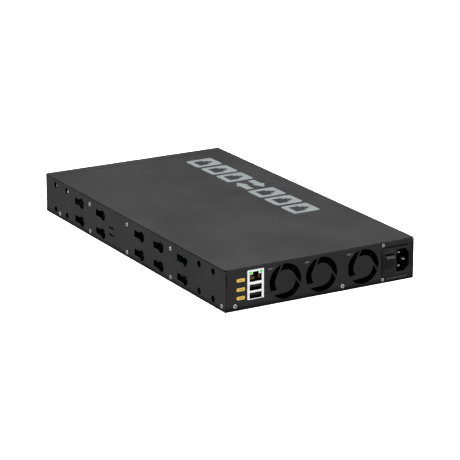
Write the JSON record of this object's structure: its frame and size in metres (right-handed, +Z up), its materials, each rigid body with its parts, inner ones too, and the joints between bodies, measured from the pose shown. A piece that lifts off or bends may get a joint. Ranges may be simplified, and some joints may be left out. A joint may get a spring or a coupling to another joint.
{
  "type": "rackmount network switch",
  "caption": "Flat half-width rackmount network switch in black sheet steel, with ducted rear fans, a service jack, mains inlet, rocker switch and front network ports.",
  "frame": {"origin": "centre of the underside, halfway along and across the sheet-metal case", "axes": "+Z up; +Y towards the rear wall with the fans and mains inlet; the network ports face -Y; +X is the side nearest the service jack"},
  "size_m": [0.22, 0.4053, 0.0432],
  "materials": {
    "black_paint": "fine matt black powder coat",
    "zinc_steel": "satin zinc",
    "screw_steel": "bright nickel plate",
    "shield": "bright tin plate",
    "black_plastic": "moulded matt",
    "switch_plastic": "fine moulded grain",
    "circuit_board": "solder mask",
    "chip": "moulded epoxy",
    "aluminium": "extruded satin",
    "brass": "nickel-washed brass",
    "smoked_lens": "polished dark",
    "clear_lens": "polished clear",
    "winding": "taped coil",
    "capacitor_sleeve": "shrink sleeve",
    "cable": "soft sheath"
  },
  "bodies": {
    "chassis": {"bottom_pan": "black_paint", "button_board": "circuit_board", "copper_port_block": "shield", "fan_1_frame": "black_plastic", "fan_2_frame": "black_plastic", "fan_3_frame": "black_plastic", "fibre_port_cage": "zinc_steel", "front_panel": "black_paint", "inlet_housing": "black_plastic", "inlet_pin_earth": "brass", "inlet_pin_live": "brass", "inlet_pin_neutral": "brass", "left_screw_1": "screw_steel", "left_screw_2": "screw_steel", "left_screw_3": "screw_steel", "left_screw_4": "screw_steel", "left_screw_5": "screw_steel", "left_screw_6": "screw_steel", "left_screw_7": "screw_steel", "left_screw_8": "screw_steel", "left_side_panel": "black_paint", "light_pipe": "clear_lens", "main_board": "circuit_board", "phy_heat_sink": "aluminium", "power_capacitor": "capacitor_sleeve", "power_heat_sink": "aluminium", "power_supply_board": "circuit_board", "power_supply_bracket": "black_paint", "power_switch_housing": "switch_plastic", "power_switch_pivot": "screw_steel", "power_transformer": "winding", "processor_chip": "chip", "processor_heat_sink": "aluminium", "rear_screw_1": "screw_steel", "rear_screw_2": "screw_steel", "rear_screw_3": "screw_steel", "rear_screw_4": "screw_steel", "right_screw_1": "screw_steel", "right_screw_2": "screw_steel", "right_screw_3": "screw_steel", "right_screw_4": "screw_steel", "right_screw_5": "screw_steel", "right_screw_6": "screw_steel", "right_screw_7": "screw_steel", "right_screw_8": "screw_steel", "right_side_panel": "black_paint", "service_jack_insert": "black_plastic", "service_jack_shell": "shield", "status_window": "smoked_lens", "supply_cable": "cable", "switch_chip": "chip", "switch_heat_sink": "aluminium", "top_cover": "black_paint"},
    "fan_1": {"fan_1_rotor": "black_plastic"},
    "fan_2": {"fan_2_rotor": "black_plastic"},
    "fan_3": {"fan_3_rotor": "black_plastic"},
    "power_rocker": {"power_switch_rocker": "switch_plastic"},
    "mode_key": {"mode_button": "switch_plastic"},
    "reset_key": {"reset_button": "switch_plastic"}
  },
  "joints": [
    {"name": "fan_1_spin", "type": "hinge", "parent": "chassis", "child": "fan_1", "pos_m": [0.042, 0.19, 0.0216], "axis": [0, 1, 0], "continuous": true},
    {"name": "fan_2_spin", "type": "hinge", "parent": "chassis", "child": "fan_2", "pos_m": [0, 0.19, 0.0216], "axis": [0, 1, 0], "continuous": true},
    {"name": "fan_3_spin", "type": "hinge", "parent": "chassis", "child": "fan_3", "pos_m": [-0.0492, 0.19, 0.0216], "axis": [0, 1, 0], "continuous": true},
    {"name": "power_rocker_tilt", "type": "hinge", "parent": "chassis", "child": "power_rocker", "pos_m": [-0.0802, 0.1969, 0.0213], "axis": [1, 0, 0], "range_deg": [0, 32]},
    {"name": "mode_press", "type": "slide", "parent": "chassis", "child": "mode_key", "axis": [0, 1, 0], "range_m": [0, 0.0005], "stiffness_N_per_m": 600, "springref_m": -0.0005},
    {"name": "reset_press", "type": "slide", "parent": "chassis", "child": "reset_key", "axis": [0, 1, 0], "range_m": [0, 0.0005], "stiffness_N_per_m": 600, "springref_m": -0.0005}
  ]
}
